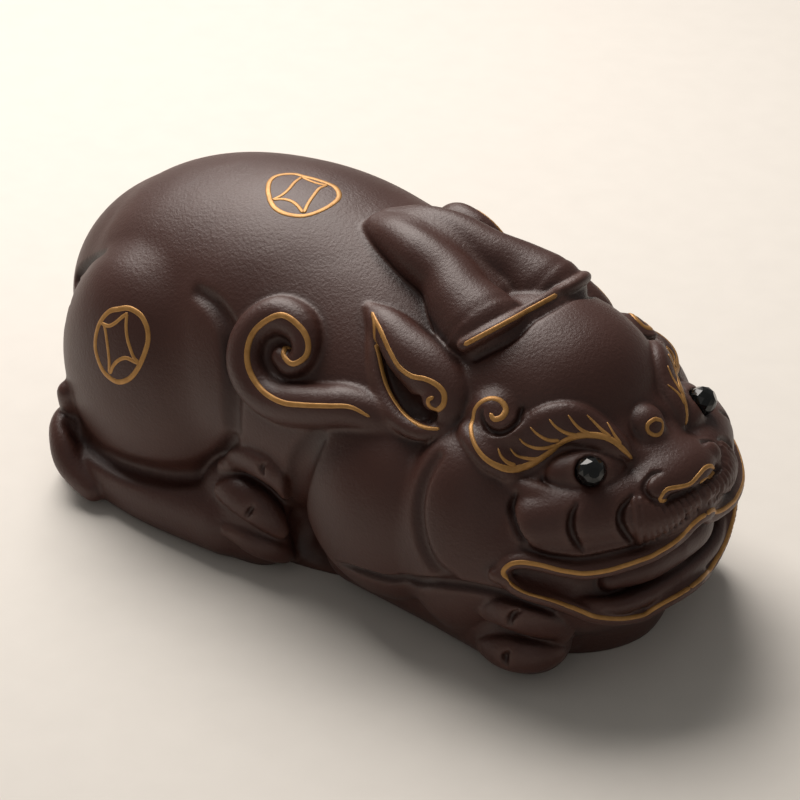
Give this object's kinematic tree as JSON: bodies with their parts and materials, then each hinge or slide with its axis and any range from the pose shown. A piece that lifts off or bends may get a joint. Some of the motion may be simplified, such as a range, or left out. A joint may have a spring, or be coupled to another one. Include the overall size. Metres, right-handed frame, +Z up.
{
  "type": "tea pet",
  "caption": "Lying guardian-beast tea pet in purple clay, with flank scrolls, swept-back horns, leaf ears, a wide open mouth and black glass eyes, on a flat underside.",
  "frame": {"origin": "middle of the footprint on the flat underside, at half of the length and half of the width", "axes": "+X the way the beast looks, +Y to its left, +Z up from the tray it lies on"},
  "size_m": [0.1232, 0.0614, 0.0552],
  "materials": {
    "purple_clay": "unglazed fired purple clay, worn to a soft sheen by tea",
    "black_glass": "polished black glass"
  },
  "bodies": {
    "root": {"clay_beast": "purple_clay", "left_eye_bead": "black_glass", "right_eye_bead": "black_glass"}
  },
  "joints": []
}
